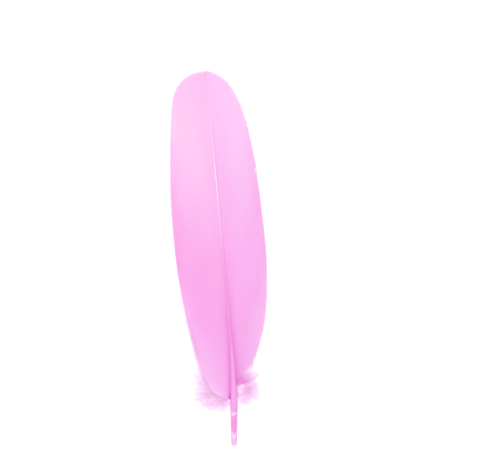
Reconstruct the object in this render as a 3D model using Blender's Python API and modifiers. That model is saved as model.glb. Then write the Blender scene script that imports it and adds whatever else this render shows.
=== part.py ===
"""A dyed goose feather lying on a table with its smooth side up, in one closed solid.

Run it with: blender --background --python part.py
Metres, +Z up, +Y from the end of the quill towards the tip, and the table at Z = 0.
"""

import math

import bmesh
import bpy
from mathutils import Vector

MM = 0.001

# Driving dimensions
LENGTH = 175 * MM  # end of the quill to the tip of the vane
MIDDLE_X = -6.95 * MM  # the middle of the feather's width, measured from the quill's axis
ARCH = 8.0 * MM  # how far the shaft's bow lifts its middle off the table
END_HEIGHT = 0.981 * MM  # of the shaft's axis at the end of the quill, which touches the table
VANE_THICKNESS = 0.45 * MM

# The shaft runs straight out of the quill, then leans sideways above BEND_AT
LEAN = 0.0908
BEND_AT = 34.4 * MM
BEND_SOFTNESS = 6 * MM
SHAFT_START = 0.1 * MM
SHAFT_END = 172.5 * MM
SHAFT_POINTS = 34
SHAFT_CROWDING = 1.25  # over 1, the shaft's points lie closer together near the end of the quill
SHAFT_BEVEL_RESOLUTION = 2  # 8 sides round
# How thick the shaft is: (distance from the quill's end, radius)
SHAFT_RADII = (
    (0 * MM, 0.75 * MM),
    (0.7 * MM, 1.2 * MM),
    (4 * MM, 1.42 * MM),
    (12 * MM, 1.60 * MM),
    (22 * MM, 1.72 * MM),
    (32 * MM, 1.42 * MM),
    (46 * MM, 0.95 * MM),
    (66 * MM, 0.68 * MM),
    (110 * MM, 0.48 * MM),
    (150 * MM, 0.36 * MM),
    (172.5 * MM, 0.26 * MM),
)
# The shaft's keel stands out under the vane: (distance from the quill's end, depth in radii)
KEEL_DEPTHS = (
    (24 * MM, 1.0),
    (50 * MM, 1.6),
    (110 * MM, 2.1),
    (150 * MM, 1.9),
    (172.5 * MM, 1.0),
)

# The vane's outline from the tip of its lowest barb on each side to the tip of the feather:
# (distance from the quill's end, width from the shaft's axis)
LEFT, RIGHT = -1, 1
OUTLINE_STEPS = 240
OUTLINE = {
    LEFT: (
        (31 * MM, 13.5 * MM),
        (37 * MM, 15.8 * MM),
        (47 * MM, 17.8 * MM),
        (63 * MM, 20.4 * MM),
        (84 * MM, 22.4 * MM),
        (115 * MM, 22.4 * MM),
        (145 * MM, 20.0 * MM),
        (163 * MM, 17.0 * MM),
        (171.2 * MM, 11.8 * MM),
        (174.4 * MM, 5.4 * MM),
        (175 * MM, 0.4 * MM),
    ),
    RIGHT: (
        (39 * MM, 9.0 * MM),
        (48 * MM, 13.3 * MM),
        (62 * MM, 17.3 * MM),
        (85 * MM, 20.0 * MM),
        (115 * MM, 19.8 * MM),
        (140 * MM, 18.2 * MM),
        (158 * MM, 15.0 * MM),
        (169 * MM, 10.2 * MM),
        (173.8 * MM, 4.6 * MM),
        (175 * MM, 0.4 * MM),
    ),
}

# The barbs that make the vane: where they leave the shaft, and how far they bow outwards as a
# share of their length, (the lowest barb, those above BOW_SETTLED along the vane)
FIRST_ROOT = 22.5 * MM
LAST_ROOT = 174.6 * MM
BOWS = {LEFT: (0.30, 0.17), RIGHT: (-0.05, 0.17)}
BOW_SETTLED = 0.25
# The barbs' tips lie further apart near the foot of the vane: under 1, the more the smaller it is
FANNING = 0.75
FANNING_START = 0.02
VANE_ROWS = 62
HALF_COLUMNS = 8

# The vane droops to each side, and lies flat where it would pass through the table
CAMBER = {LEFT: 6.2 * MM, RIGHT: 8.2 * MM}
CAMBER_WIDTH = 22 * MM
CREASE = {LEFT: 0.9 * MM, RIGHT: 0.5 * MM}
CREASE_WIDTH = 3.2 * MM
JOIN_HEIGHT = 0.35  # where the vane's upper side meets the shaft, in radii above its axis

# The split in the vane's edge: its side, its row of the vane's grid, and its depth as a share of
# the barb. The rows beside it close in on it by SPLIT_PINCH of their distance.
SPLIT_SIDE = RIGHT
SPLIT_ROW = 32
SPLIT_DEPTH = 0.1
SPLIT_PINCH = 0.72
# The higher these powers, the nearer to the barb's tip the split and its pinch begin
SPLIT_LATENESS = 4
PINCH_LATENESS = 3

# Locks of down below the vane on each side: (lowest, highest) of each value
LOCKS_A_SIDE = 15
LOCK_ROOTS = (20.5 * MM, 37 * MM)
LOCK_ANGLES = {LEFT: (152, 58), RIGHT: (140, 50)}  # degrees from +Y
LOCK_LENGTHS = {LEFT: (10 * MM, 22.5 * MM), RIGHT: (9 * MM, 18.5 * MM)}
LOCK_EAGERNESS = 0.7  # under 1, the locks get long soon above the lowest one
LOCK_UNEVENNESS = (1.0, 0.86, 0.95)  # of their length, for each three locks in turn
LOCK_HALF_WIDTH = 1.15 * MM
LOCK_HALF_HEIGHT = 0.38 * MM
# A lock is as wide along its length as a half wave from this share of it to that, to this power
LOCK_SWELL = (0.18, 0.98)
LOCK_FULLNESS = 0.8
LOCK_POINTS = 7
LOCK_SIDES = 8
LOCK_CURL = 26  # degrees that a lock turns towards the tip over its length
LOCK_TIP_HEIGHT = 0.9 * MM
LOCK_DEPTH = 0.72  # how far down the shaft a lock grows, in shaft radii below its axis
LOCK_STAGGER = 0.17 * MM  # every second lock grows this much lower
LOCK_DROOP = 1.25  # over 1, a lock droops most near the shaft

WELD_DISTANCE = 0.001 * MM
SHARP_ANGLE = math.radians(40)  # edges that turn more than this are shaded sharp
PINK = (0.96, 0.50, 0.87, 1)


def between(low, high, share):
    return low + (high - low) * share


def looked_up(table, at):
    """The value at a place along a table of (place, value), in a straight line between its rows."""
    for (a, low), (b, high) in zip(table, table[1:]):
        if at <= b:
            share = max(0.0, (at - a) / (b - a))
            return between(low, high, share)
    return table[-1][1]


def shaft_x(y):
    return -LEAN * BEND_SOFTNESS * math.log1p(math.exp((y - BEND_AT) / BEND_SOFTNESS))


def shaft_z(y):
    """Height of the shaft's axis: its end lies on the table, and the rest bows up and down again."""
    return END_HEIGHT * (1 - y / LENGTH) + ARCH * math.sin(math.pi * y / LENGTH)


def catmull_rom(points, share):
    """A point at a share from 0 to 1 of a smooth curve through the points."""
    spans = len(points) - 1
    at = min(share * spans, spans - 1e-9)
    i = int(at)
    t = at - i
    p1, p2 = Vector(points[i]), Vector(points[i + 1])
    p0 = Vector(points[i - 1]) if i else 2 * p1 - p2
    p3 = Vector(points[i + 2]) if i + 2 <= spans else 2 * p2 - p1
    return 0.5 * (
        2 * p1
        + (p2 - p0) * t
        + (2 * p0 - 5 * p1 + 4 * p2 - p3) * t * t
        + (3 * p1 - p0 - 3 * p2 + p3) * t ** 3
    )


def outline_curve(side):
    """The outline as (distance round it, place), from the foot of the vane to its tip."""
    rows = []
    walked = 0.0
    for i in range(OUTLINE_STEPS + 1):
        y, width = catmull_rom(OUTLINE[side], i / OUTLINE_STEPS)
        place = Vector((shaft_x(y) + side * width, y))
        if rows:
            walked += (place - rows[-1][1]).length
        rows.append((walked, place))
    return rows


CURVES = {side: outline_curve(side) for side in (LEFT, RIGHT)}


def outline_point(side, share):
    rows = CURVES[side]
    at = share * rows[-1][0]
    for (a, start), (b, end) in zip(rows, rows[1:]):
        if at <= b:
            return start.lerp(end, (at - a) / (b - a))
    return rows[-1][1].copy()


def fanned(u):
    """The share of the outline that lies below the tip of the barb at u along the vane."""
    start = FANNING_START ** FANNING
    return ((u + FANNING_START) ** FANNING - start) / ((1 + FANNING_START) ** FANNING - start)


def barb_point(side, u, v):
    """Where the barb at u along the vane is, at v of its length from the shaft to its tip."""
    root_y = between(FIRST_ROOT, LAST_ROOT, u)
    root = Vector((shaft_x(root_y), root_y))
    tip = outline_point(side, fanned(u))
    chord = tip - root
    outward = Vector((chord.y, -chord.x)) * side
    bow = between(*BOWS[side], min(1, u / BOW_SETTLED))
    middle = root + chord / 2 + outward * bow
    return root * (1 - v) ** 2 + middle * 2 * v * (1 - v) + tip * v * v


def vane_height(x, y):
    """Height of the vane's underside."""
    across = x - shaft_x(y)
    side = LEFT if across < 0 else RIGHT
    away = abs(across)
    droop = CAMBER[side] * (away / CAMBER_WIDTH) ** 2
    crease = CREASE[side] * (1 - math.exp(-((away / CREASE_WIDTH) ** 2)))
    joined = shaft_z(y) + JOIN_HEIGHT * looked_up(SHAFT_RADII, y) - VANE_THICKNESS
    return max(0.0, joined + crease - droop)


def vane_point(row, side, v):
    """A point of the vane's grid, at v of the way from the shaft to the edge."""
    from_split = SPLIT_ROW - row if side == SPLIT_SIDE else 2
    if from_split == 0:
        v -= SPLIT_DEPTH * v ** SPLIT_LATENESS
    elif abs(from_split) == 1:
        row += from_split * SPLIT_PINCH * v ** PINCH_LATENESS
    return barb_point(side, row / (VANE_ROWS - 1), v)


def make_vane():
    """One sheet from the left edge over the shaft to the right edge, with its rows along the barbs."""
    columns = 2 * HALF_COLUMNS + 1
    bpy.ops.mesh.primitive_grid_add(
        x_subdivisions=columns - 1, y_subdivisions=VANE_ROWS - 1, size=1
    )
    vane = bpy.context.object
    vane.name = "vane_sheet"
    for index, vertex in enumerate(vane.data.vertices):
        row, column = divmod(index, columns)
        across = column / HALF_COLUMNS - 1
        x, y = vane_point(row, LEFT if across < 0 else RIGHT, abs(across))
        vertex.co = (x, y, vane_height(x, y))
    solid = vane.modifiers.new("thickness", "SOLIDIFY")
    solid.thickness = VANE_THICKNESS
    solid.offset = 1
    return vane


def curve_object(name, points, radii):
    """A 3D curve through the points, which gets its section from its bevel settings."""
    data = bpy.data.curves.new(name, "CURVE")
    data.dimensions = "3D"
    data.use_fill_caps = True
    data.twist_mode = "Z_UP"
    spline = data.splines.new("POLY")
    spline.points.add(len(points) - 1)
    for point, place, radius in zip(spline.points, points, radii):
        point.co = (*place, 1)
        point.radius = radius
    obj = bpy.data.objects.new(name, data)
    bpy.context.scene.collection.objects.link(obj)
    return obj


def as_mesh(curve):
    """The curve's tube as a mesh object with its caps welded on. The curve is removed."""
    bpy.context.view_layer.update()
    graph = bpy.context.evaluated_depsgraph_get()
    mesh = bpy.data.meshes.new_from_object(curve.evaluated_get(graph))
    name = curve.name
    bpy.data.objects.remove(curve)
    welded = bmesh.new()
    welded.from_mesh(mesh)
    bmesh.ops.remove_doubles(welded, verts=welded.verts, dist=WELD_DISTANCE)
    bmesh.ops.recalc_face_normals(welded, faces=welded.faces)
    welded.to_mesh(mesh)
    welded.free()
    obj = bpy.data.objects.new(name, mesh)
    bpy.context.scene.collection.objects.link(obj)
    return obj


def make_shaft():
    """The quill and the rachis that it runs on into, as one tapering rod with a keel under it."""
    points, radii = [], []
    for i in range(SHAFT_POINTS):
        y = between(SHAFT_START, SHAFT_END, (i / (SHAFT_POINTS - 1)) ** SHAFT_CROWDING)
        points.append((shaft_x(y), y, shaft_z(y)))
        radii.append(looked_up(SHAFT_RADII, y) / MM)
    rod = curve_object("feather", points, radii)
    rod.data.bevel_depth = MM
    rod.data.bevel_resolution = SHAFT_BEVEL_RESOLUTION
    shaft = as_mesh(rod)
    for vertex in shaft.data.vertices:
        axis = shaft_z(vertex.co.y)
        if vertex.co.z < axis:
            vertex.co.z = axis + (vertex.co.z - axis) * looked_up(KEEL_DEPTHS, vertex.co.y)
    return shaft


def make_lock(side, number, section):
    """A lock of down: a flat tapering strand that leaves the shaft, droops and curls to the tip."""
    share = number / (LOCKS_A_SIDE - 1)
    angle = between(*LOCK_ANGLES[side], share)
    length = between(*LOCK_LENGTHS[side], math.sin(math.pi / 2 * share ** LOCK_EAGERNESS))
    length *= LOCK_UNEVENNESS[number % len(LOCK_UNEVENNESS)]
    y = between(*LOCK_ROOTS, share)
    x = shaft_x(y)
    start_z = shaft_z(y) - LOCK_DEPTH * looked_up(SHAFT_RADII, y) - LOCK_STAGGER * (number % 2)
    step = length / (LOCK_POINTS - 1)
    points, radii = [], []
    for i in range(LOCK_POINTS):
        along = i / (LOCK_POINTS - 1)
        droop = 1 - (1 - along) ** LOCK_DROOP
        points.append((x, y, between(start_z, LOCK_TIP_HEIGHT, droop)))
        radii.append(math.sin(math.pi * between(*LOCK_SWELL, along)) ** LOCK_FULLNESS)
        turn = math.radians(angle - LOCK_CURL * along)
        x += side * math.sin(turn) * step
        y += math.cos(turn) * step
    name = f"lock_{'left' if side == LEFT else 'right'}_{number + 1:02d}"
    lock = curve_object(name, points, radii)
    lock.data.bevel_mode = "OBJECT"
    lock.data.bevel_object = section
    return as_mesh(lock)


def make_lock_section():
    """The flat oval that every lock of down is swept with."""
    data = bpy.data.curves.new("lock_section", "CURVE")
    data.dimensions = "2D"
    spline = data.splines.new("POLY")
    spline.points.add(LOCK_SIDES - 1)
    for i, point in enumerate(spline.points):
        angle = 2 * math.pi * (i + 0.5) / LOCK_SIDES
        point.co = (LOCK_HALF_WIDTH * math.cos(angle), LOCK_HALF_HEIGHT * math.sin(angle), 0, 1)
    spline.use_cyclic_u = True
    section = bpy.data.objects.new("lock_section", data)
    bpy.context.scene.collection.objects.link(section)
    return section


def pink_keratin():
    material = bpy.data.materials.new("pink_feather")
    material.use_nodes = True
    shader = material.node_tree.nodes["Principled BSDF"]
    shader.inputs["Base Color"].default_value = PINK
    shader.inputs["Roughness"].default_value = 0.6
    shader.inputs["Metallic"].default_value = 0.0
    return material


def move_to(collection, obj):
    for old in list(obj.users_collection):
        old.objects.unlink(obj)
    collection.objects.link(obj)


def new_collection(name):
    collection = bpy.data.collections.new(name)
    bpy.context.scene.collection.children.link(collection)
    return collection


def main():
    for obj in list(bpy.data.objects):
        bpy.data.objects.remove(obj)
    feather_parts = new_collection("goose_feather")
    grown_on = new_collection("grown_on_the_shaft")
    helpers = new_collection("helpers")

    section = make_lock_section()
    section.hide_render = True
    section.display_type = "WIRE"
    move_to(helpers, section)

    feather = make_shaft()
    move_to(feather_parts, feather)
    growths = [make_vane()]
    for side in (LEFT, RIGHT):
        growths += [make_lock(side, number, section) for number in range(LOCKS_A_SIDE)]
    for growth in growths:
        growth.hide_render = True
        growth.display_type = "WIRE"
        move_to(grown_on, growth)

    union = feather.modifiers.new("vane_and_down", "BOOLEAN")
    union.operation = "UNION"
    union.operand_type = "COLLECTION"
    union.collection = grown_on

    for obj in (feather, *growths):
        obj.location = (-MIDDLE_X, -LENGTH / 2, 0)
    feather.data.materials.append(pink_keratin())
    feather.data.shade_smooth()
    feather.data.set_sharp_from_angle(angle=SHARP_ANGLE)


main()
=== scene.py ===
"""A dyed goose feather lying smooth side up on a pale table, seen from straight above.

Metres, +Y from the end of the quill towards the tip, +Z up, the table at Z = 0.
"""

import math

import bpy
import numpy as np
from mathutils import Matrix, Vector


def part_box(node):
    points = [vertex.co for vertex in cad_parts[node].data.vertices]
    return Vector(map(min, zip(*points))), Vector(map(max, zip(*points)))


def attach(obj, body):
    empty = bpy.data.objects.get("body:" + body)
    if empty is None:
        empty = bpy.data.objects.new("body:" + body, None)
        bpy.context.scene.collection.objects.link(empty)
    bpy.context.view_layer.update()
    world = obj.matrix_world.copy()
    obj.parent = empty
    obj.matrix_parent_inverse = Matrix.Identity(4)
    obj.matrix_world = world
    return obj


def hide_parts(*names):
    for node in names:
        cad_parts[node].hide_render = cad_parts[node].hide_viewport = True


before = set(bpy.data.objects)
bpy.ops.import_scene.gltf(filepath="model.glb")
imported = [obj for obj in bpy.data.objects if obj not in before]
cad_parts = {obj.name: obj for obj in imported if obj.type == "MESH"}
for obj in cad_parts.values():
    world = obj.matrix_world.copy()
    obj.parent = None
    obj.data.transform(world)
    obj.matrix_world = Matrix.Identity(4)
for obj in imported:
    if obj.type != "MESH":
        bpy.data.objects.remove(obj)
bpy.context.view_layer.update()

# The shaft is one rod of horn. Its lower end is the quill, a smooth tube closed and cut at its
# end, and above the foot of the vanes it goes on as the rachis, which is squarish, has a keel
# with a groove under it, and thins to a hair. It grew as one piece with the barbs.
MM = 0.001
QUILL_X = 6.95 * MM  # of the quill's axis, from the middle of the feather's width
QUILL_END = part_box("feather")[0].y
LENGTH = 175 * MM
ARCH = 8.0 * MM  # how far the shaft bows up between its ends
END_HEIGHT = 0.981 * MM  # of the shaft's axis at the quill's end
LEAN = 0.0908  # of the rachis to the left, as a share of the way along it
BEND_AT = 34.4 * MM  # where the upright quill turns into the leaning rachis
BEND_SOFTNESS = 6 * MM
TUBE_START = 2 * MM  # below it is the cut end of the quill
SHAFT_END = 173.4 * MM
SHAFT_RINGS = 300
SHAFT_CROWDING = 1.2  # above 1, the rings are closer together towards the quill
SHAFT_SIDES = 36
# (distance from the quill's end, half its width)
SHAFT_RADII = (
    (3 * MM, 1.34 * MM),
    (10 * MM, 1.58 * MM),
    (18 * MM, 1.72 * MM),
    (24 * MM, 1.68 * MM),
    (32 * MM, 1.40 * MM),
    (46 * MM, 0.95 * MM),
    (60 * MM, 0.72 * MM),
    (78 * MM, 0.56 * MM),
    (110 * MM, 0.45 * MM),
    (140 * MM, 0.34 * MM),
    (160 * MM, 0.25 * MM),
    (173.4 * MM, 0.10 * MM),
)
RADIUS_BLUR = 2.5 * MM  # over which the corners of that table are rounded
# The cut end of the quill turns in to a small navel, from its bottom to the quill's outside:
# (distance from the quill's end, half width)
QUILL_TIP = (
    (1.60 * MM, 0.18 * MM),
    (0.70 * MM, 0.30 * MM),
    (0.25 * MM, 0.42 * MM),
    (0.06 * MM, 0.60 * MM),
    (0.06 * MM, 0.82 * MM),
    (0.22 * MM, 1.02 * MM),
    (0.60 * MM, 1.16 * MM),
    (1.30 * MM, 1.26 * MM),
)
# (distance from the quill's end, depth of the underside in half widths)
KEEL_DEPTHS = ((24 * MM, 1.0), (50 * MM, 1.6), (110 * MM, 2.1), (150 * MM, 1.9), (173 * MM, 1.0))
KEEL_BLUR = 6 * MM
GROOVE_DEPTH = 0.55  # of the groove under the rachis, in half widths
GROOVE_WIDTH = 0.30
GROOVE_START = 27 * MM
GROOVE_RUN_IN = 12 * MM
ROUND, SQUARE = 2.0, 2.7  # how square the section is, at the quill and up the rachis
SQUARING = (22 * MM, 50 * MM)  # from where to where the round section turns square
SHAFT_CLEARANCE = 0.02 * MM  # of the quill above the table
BLUR_SAMPLES = 9
MAP_HALF = 0.49  # share of the flat map's width for each side of a piece
ROUNDED_UP_TO = math.radians(50)  # sharper edges of the shaft and the down stay sharp


def read_off(table, at, blur):
    """The value at a place in a table of (place, value), averaged over blur to round its corners."""
    places, values = zip(*table)
    offsets = np.linspace(-blur, blur, BLUR_SAMPLES)
    return np.mean([np.interp(at + offset, places, values) for offset in offsets], axis=0)


def eased(low, high, at):
    """0 below low, 1 above high and a smooth rise between them."""
    share = np.clip((at - low) / (high - low), 0, 1)
    return share * share * (3 - 2 * share)


def shaft_x(y):
    return -LEAN * BEND_SOFTNESS * np.logaddexp(0, (y - BEND_AT) / BEND_SOFTNESS)


def shaft_z(y):
    return END_HEIGHT * (1 - y / LENGTH) + ARCH * np.sin(np.pi * y / LENGTH)


def shaft_radius(y):
    return read_off(SHAFT_RADII, y, RADIUS_BLUR)


def joined_tubes(name, bundles):
    """One piece of closed tubes. A bundle is (places, values by name), and places holds a point for
    each tube, each ring along it and each side of the ring."""
    points, loops, starts, total = [], [], [], 0
    facts = {}
    corner_count = 0
    for places, values in bundles:
        count, rings, sides, _ = places.shape
        corner = np.arange(count * rings * sides).reshape(count, rings, sides) + total
        turned = np.roll(corner, -1, axis=2)
        walls = np.stack(
            [corner[:, :-1], corner[:, 1:], turned[:, 1:], turned[:, :-1]], axis=-1
        ).reshape(-1, 4)
        caps = np.concatenate([corner[:, 0], corner[:, -1, ::-1]])
        for faces in (walls, caps):
            starts.append(corner_count + np.arange(len(faces)) * faces.shape[1])
            loops.append(faces.ravel())
            corner_count += faces.size
        points.append(places.reshape(-1, 3))
        total += count * rings * sides
        for key, value in values.items():
            spread = np.broadcast_to(value, (count, rings, sides)).ravel()
            facts.setdefault(key, []).append(spread)
    mesh = bpy.data.meshes.new(name)
    mesh.vertices.add(total)
    placed = np.concatenate(points) + (QUILL_X, QUILL_END, 0)
    mesh.vertices.foreach_set("co", placed.astype(np.float32).ravel())
    mesh.loops.add(corner_count)
    mesh.loops.foreach_set("vertex_index", np.concatenate(loops).astype(np.int32))
    starts = np.concatenate(starts)
    mesh.polygons.add(len(starts))
    mesh.polygons.foreach_set("loop_start", starts.astype(np.int32))
    mesh.update(calc_edges=True)
    mesh.validate()
    for key, value in facts.items():
        attribute = mesh.attributes.new(key, "FLOAT", "POINT")
        attribute.data.foreach_set("value", np.concatenate(value).astype(np.float32))
    mesh.shade_smooth()
    lay_out(mesh)
    piece = bpy.data.objects.new(name, mesh)
    bpy.context.scene.collection.objects.link(piece)
    return piece


def lay_out(mesh):
    """A flat map of the piece as seen from above, with what faces down beside it."""
    normals = np.zeros(len(mesh.polygons) * 3, np.float32)
    mesh.polygons.foreach_get("normal", normals)
    corners_a_face = np.zeros(len(mesh.polygons), np.int32)
    mesh.polygons.foreach_get("loop_total", corners_a_face)
    faces_down = np.repeat(normals[2::3] < 0, corners_a_face)
    of_corner = np.zeros(len(mesh.loops), np.int32)
    mesh.loops.foreach_get("vertex_index", of_corner)
    places = np.zeros(len(mesh.vertices) * 3, np.float32)
    mesh.vertices.foreach_get("co", places)
    flat = places.reshape(-1, 3)[of_corner, :2]
    low, high = flat.min(axis=0), flat.max(axis=0)
    share = (flat - low) / (high - low)
    across = np.where(faces_down, 1 - share[:, 0] * MAP_HALF, share[:, 0] * MAP_HALF)
    made = mesh.uv_layers.new(name="OFBake")
    made.data.foreach_set("uv", np.stack([across, share[:, 1]], axis=1).astype(np.float32).ravel())


def make_shaft():
    along = np.linspace(0, 1, SHAFT_RINGS) ** SHAFT_CROWDING
    y = TUBE_START + (SHAFT_END - TUBE_START) * along
    tip_y, tip_radius = (np.array(column) for column in zip(*QUILL_TIP))
    radius = np.concatenate([tip_radius, shaft_radius(y)])
    y = np.concatenate([tip_y, y])
    angle = np.linspace(0, 2 * np.pi, SHAFT_SIDES, endpoint=False)
    cosine, sine = np.cos(angle)[None, :], np.sin(angle)[None, :]
    power = 2 / (ROUND + (SQUARE - ROUND) * eased(*SQUARING, y))[:, None]
    across = np.sign(cosine) * np.abs(cosine) ** power
    up = np.sign(sine) * np.abs(sine) ** power
    keel = read_off(KEEL_DEPTHS, y, KEEL_BLUR)[:, None]
    groove = GROOVE_DEPTH * eased(GROOVE_START, GROOVE_START + GROOVE_RUN_IN, y)[:, None]
    groove = groove * np.exp(-((across / GROOVE_WIDTH) ** 2))
    up = np.where(up < 0, np.minimum(up * keel + groove, 0), up)
    axis_z = np.maximum(shaft_z(y), radius + SHAFT_CLEARANCE)
    x = shaft_x(y)[:, None] + radius[:, None] * across
    z = axis_z[:, None] + radius[:, None] * up
    places = np.stack([x, np.broadcast_to(y[:, None], x.shape), z], axis=-1)[None]
    values = {
        "from_quill_end": y[None, :, None],
        "across_shaft": across[None],
    }
    return joined_tubes("quill_and_rachis", [(places, values)])


shaft = make_shaft()
shaft.data.set_sharp_from_angle(angle=ROUNDED_UP_TO)


class Graph:
    """Adds nodes to a material or a node group and joins them up."""

    def __init__(self, tree):
        self.tree = tree

    def node(self, kind, inputs=None, **settings):
        made = self.tree.nodes.new(kind)
        for key, value in settings.items():
            setattr(made, key, value)
        for key, value in (inputs or {}).items():
            self.feed(made.inputs[key], value)
        return made

    def feed(self, socket, value):
        """Gives a socket a plain value, or the output of another node."""
        if isinstance(value, bpy.types.NodeSocket):
            self.tree.links.new(value, socket)
        else:
            socket.default_value = value

    def maths(self, operation, *values):
        return self.node("ShaderNodeMath", dict(enumerate(values)), operation=operation).outputs[0]

    def both(self, first, second):
        """Where two masks meet, or one of them weakened by a number."""
        return self.maths("MULTIPLY", first, second)

    def rise(self, value, start, end):
        """0 before start, 1 after end, with a smooth rise between them."""
        inputs = {"Value": value, "From Min": start, "From Max": end}
        return self.node("ShaderNodeMapRange", inputs, interpolation_type="SMOOTHSTEP").outputs[0]

    def band(self, value, start, end, soft):
        """1 from start to end, and 0 away from them."""
        return self.both(
            self.rise(value, start - soft, start + soft), self.rise(value, end + soft, end - soft)
        )

    def mixed(self, share, first, second):
        made = self.node("ShaderNodeMix", data_type="RGBA")
        given = {"Factor": share, "A": first, "B": second}
        for socket in made.inputs:
            if socket.name in given and socket.type in ("RGBA", "VALUE") and socket.enabled:
                self.feed(socket, given[socket.name])
        return next(socket for socket in made.outputs if socket.type == "RGBA")

    def fact(self, name):
        return self.node("ShaderNodeAttribute", attribute_name=name).outputs["Fac"]

    def place(self):
        return self.node("ShaderNodeTexCoord").outputs["Object"]

    def ramp(self, value, stops):
        """The colour at a value from 0 to 1 along stops of (place, colour), from 0 to 1 too."""
        made = self.node("ShaderNodeValToRGB", {"Fac": value})
        made.color_ramp.interpolation = "CARDINAL"
        elements = made.color_ramp.elements
        elements[0].color, elements[1].color = stops[0][1], stops[-1][1]
        for place, colour in stops[1:-1]:
            elements.new(place).color = colour
        return made.outputs["Color"]

    def unevenly_dyed(self, colour, patches, amount):
        inputs = {"Color": colour, "Patches": patches, "Amount": amount}
        return self.node("ShaderNodeGroup", inputs, node_tree=uneven_dye).outputs["Color"]


PATCH_STRETCH = (1.0, 0.35, 1.0)  # the dye's patches are longer along the feather


def new_uneven_dye():
    """A node group for dye that took better in some soft patches than in others."""
    group = bpy.data.node_groups.new("uneven_dye", "ShaderNodeTree")
    group.interface.new_socket("Color", in_out="INPUT", socket_type="NodeSocketColor")
    group.interface.new_socket("Patches", in_out="INPUT", socket_type="NodeSocketFloat")
    group.interface.new_socket("Amount", in_out="INPUT", socket_type="NodeSocketFloat")
    group.interface.new_socket("Color", in_out="OUTPUT", socket_type="NodeSocketColor")
    graph = Graph(group)
    given = graph.node("NodeGroupInput").outputs
    stretched = graph.node(
        "ShaderNodeVectorMath", {0: graph.place(), 1: PATCH_STRETCH}, operation="MULTIPLY"
    )
    patchy = graph.node(
        "ShaderNodeTexNoise",
        {"Vector": stretched.outputs[0], "Scale": given["Patches"], "Detail": 2.0},
    ).outputs["Fac"]
    swing = graph.maths("MULTIPLY_ADD", graph.maths("SUBTRACT", patchy, 0.5), given["Amount"], 1.0)
    dyed = graph.node("ShaderNodeHueSaturation", {"Color": given["Color"], "Saturation": swing})
    graph.node("NodeGroupOutput", {"Color": dyed.outputs[0]})
    return group


uneven_dye = new_uneven_dye()


def new_material(name, **plain_values):
    """A material's graph and its Principled shader with the values that are the same all over."""
    material = bpy.data.materials.new(name)
    material.use_nodes = True
    shader = material.node_tree.nodes["Principled BSDF"]
    for key, value in plain_values.items():
        shader.inputs[key.replace("_", " ")].default_value = value
    return material, Graph(material.node_tree), shader


QUILL_PINK = (0.915, 0.312, 0.748, 1)
QUILL_PALE = (0.975, 0.660, 0.950, 1)
QUILL_CLEAR = (0.925, 0.530, 0.825, 1)
MAUVE_SHADE_AND_FOOT_LINE = (0.760, 0.330, 0.640, 1)
FLANK_SHADE_PINK = (0.945, 0.500, 0.870, 1)
# The dye along the shaft above its clear end: (share of its length, colour)
RACHIS_DYE = (
    (0.00, (0.870, 0.280, 0.720, 1)),
    (0.13, (0.935, 0.350, 0.795, 1)),
    (0.26, (0.905, 0.300, 0.760, 1)),
    (0.36, (0.905, 0.285, 0.740, 1)),
    (0.47, (0.920, 0.330, 0.780, 1)),
    (0.55, (0.945, 0.420, 0.840, 1)),
    (0.62, (0.965, 0.560, 0.900, 1)),
    (0.68, (0.985, 0.780, 0.960, 1)),
    (0.74, (0.985, 0.780, 0.960, 1)),
    (0.80, (0.975, 0.650, 0.930, 1)),
    (1.00, (0.955, 0.560, 0.890, 1)),
)
# The colours meet along ragged lines, each of them (where it begins, where it is complete)
RAGGED_BY = 2.0 * MM
RAGGED_SCALE = 900.0
CUT_FACE = (1.5 * MM, 0.1 * MM)
CLEAR_TO_PALE = (3.2 * MM, 5.0 * MM)
PITH_FOOT = (5.0 * MM, 6.2 * MM)
PITH_POINT = 2.6 * MM  # by which its foot is lower in the middle of the quill than at its sides
PITH_HEAD = (15.2 * MM, 14.4 * MM)
PITH_SLANT = 0.9 * MM  # by which its head is higher at the quill's right side
PITH_WIDTH = (0.95, 0.70)  # in half widths
DYED_FROM = (15.8 * MM, 16.4 * MM)
DYED_ROUNDING = 0.8 * MM  # by which the dye begins lower in the middle
FOOT_LINE = (16.0 * MM, 16.7 * MM)
FOOT_LINE_SOFTNESS = 0.4 * MM
FOOT_LINE_STRENGTH = 0.55
# Up the rachis a pale ridge stands between duller flanks: partly the rachis's own colour, partly a
# painted highlight on the side towards the lamp and painted shade on its flanks
RIDGE_OFFSET = 0.25  # of the ridge, in half widths to the left
RIDGE_FLANK = (0.25, 0.70)
RIDGE_FROM = (98 * MM, 112 * MM)
# Painted shade on the sides of the shaft, where the vanes and its ridge shade them: how strongly, from
# where across it, and down from where
LOWER_HALF = (90 * MM, 70 * MM)
RIGHT_SHADE = 0.45
RIGHT_SHADE_BELOW = 0.35  # more of it over the lower half
RIGHT_FLANK = (0.30, 0.90)
RIGHT_SHADE_END = (172 * MM, 140 * MM)
LEFT_SHADE = 0.80
LEFT_FLANK = (-0.35, -0.90)
LEFT_SHADE_END = (100 * MM, 84 * MM)
UNEVEN_HORN = (200.0, 0.2)  # how fine the patches of dye are, and how much they differ


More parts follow.
